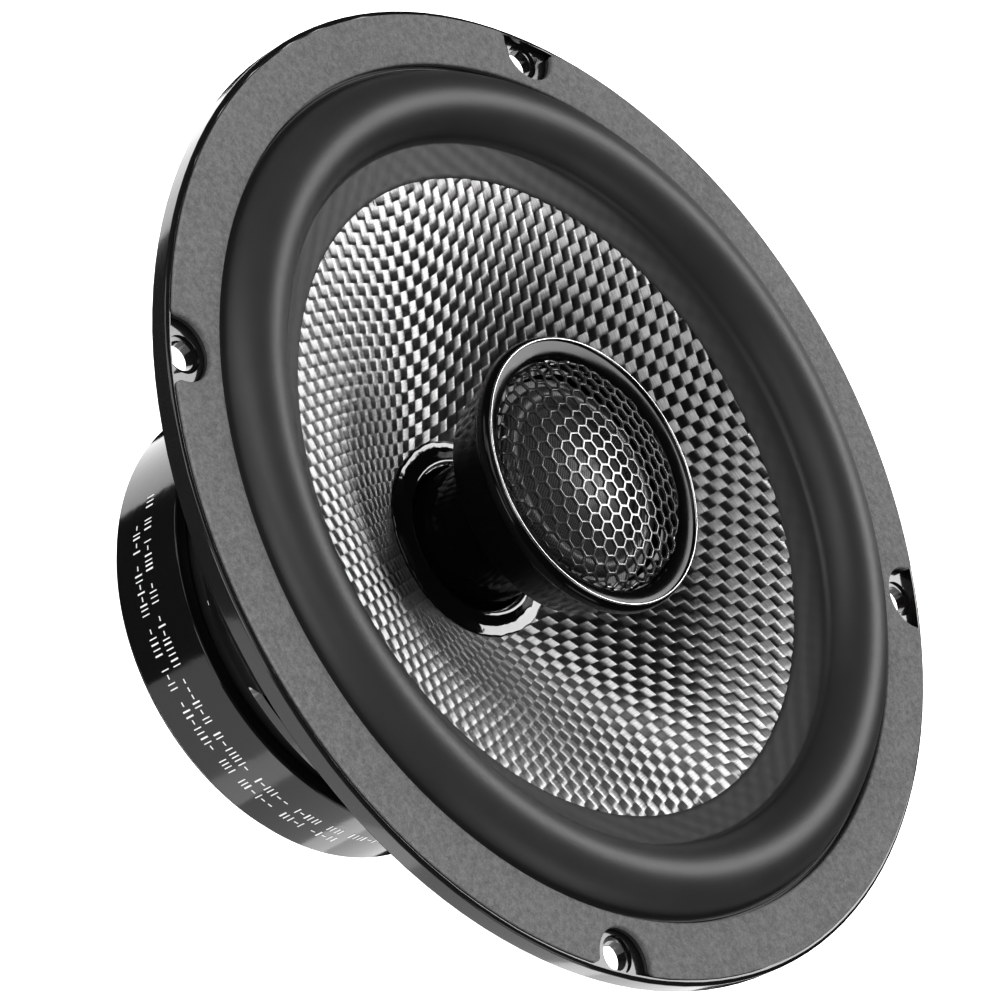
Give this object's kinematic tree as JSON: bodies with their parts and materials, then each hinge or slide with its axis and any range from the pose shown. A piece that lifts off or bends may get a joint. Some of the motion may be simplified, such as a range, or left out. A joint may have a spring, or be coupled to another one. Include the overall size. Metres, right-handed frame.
{
  "type": "coaxial car speaker",
  "caption": "Round coaxial car speaker: woven cone and rubber surround in a windowed basket, with a grilled dome tweeter on a post over the cone and a booted ring magnet.",
  "frame": {"origin": "centre of the mounting flange's back face, on the speaker's axis", "axes": "+Z along the axis out of the front, towards the listener; the screw holes lie at 45 degrees between +X and +Y and every 90 degrees from there"},
  "size_m": [0.165, 0.165, 0.0732],
  "materials": {
    "basket_paint": "gloss black enamel",
    "gasket_rubber": "matt, fine grain",
    "surround_rubber": "satin moulded rubber",
    "woven_cone": "metallised plain weave in clear resin",
    "black_adhesive": "glossy cured adhesive",
    "coil_former": "thin foil tube",
    "copper_wire": "enamelled copper winding",
    "spider_cloth": "resin-treated woven cloth",
    "black_plastic": "matt moulded plastic",
    "zinc_plate": "bright zinc plating, turned",
    "black_plate": "black plated steel",
    "ferrite": "ground ferrite, matt dark grey",
    "boot_plastic": "gloss black sleeve",
    "tweeter_plastic": "gloss black moulding",
    "bright_trim": "bright turned edge",
    "grille_steel": "semi-gloss black on pressed steel mesh",
    "silk": "coated silk, fine weave",
    "rare_earth": "nickel plating",
    "laminate_board": "phenolic paper laminate",
    "tinned_brass": "tinned brass",
    "tinsel_braid": "copper braid",
    "capacitor_sleeve": "shrunk film sleeve",
    "tinned_wire": "tinned wire",
    "wire_jacket": "black twin lead"
  },
  "bodies": {
    "frame": {"basket": "basket_paint", "basket_rivets": "zinc_plate", "gasket": "gasket_rubber", "spider_ring": "black_plastic", "top_plate": "black_plate", "magnet": "ferrite", "yoke": "zinc_plate", "magnet_boot": "boot_plastic", "tweeter_post": "tweeter_plastic", "post_nut": "zinc_plate", "tweeter_housing": "tweeter_plastic", "tweeter_bezel": "tweeter_plastic", "bezel_trim": "bright_trim", "tweeter_grille": "grille_steel", "tweeter_pot": "zinc_plate", "tweeter_magnet": "rare_earth", "tweeter_pole_plate": "zinc_plate", "dome_ring": "black_plastic", "terminal_board": "laminate_board", "positive_spade": "tinned_brass", "negative_spade": "tinned_brass", "terminal_rivets": "tinned_brass", "capacitor": "capacitor_sleeve", "capacitor_leads": "tinned_wire", "tweeter_lead": "wire_jacket"},
    "cone_assembly": {"cone": "woven_cone", "coil_collar": "black_adhesive", "voice_coil_former": "coil_former", "voice_coil": "copper_wire", "surround": "surround_rubber", "spider": "spider_cloth", "tinsel_leads": "tinsel_braid"},
    "tweeter_diaphragm": {"tweeter_dome": "silk", "tweeter_coil": "copper_wire", "tweeter_suspension": "silk"}
  },
  "joints": [
    {"name": "cone_travel", "type": "slide", "parent": "frame", "child": "cone_assembly", "axis": [0, 0, 1], "range_m": [-0.0035, 0.0035], "stiffness_N_per_m": 2000, "deforming": ["surround", "spider", "tinsel_leads"]},
    {"name": "tweeter_travel", "type": "slide", "parent": "frame", "child": "tweeter_diaphragm", "axis": [0, 0, 1], "range_m": [-0.0002, 0.0002], "stiffness_N_per_m": 500, "deforming": ["tweeter_suspension"]}
  ]
}
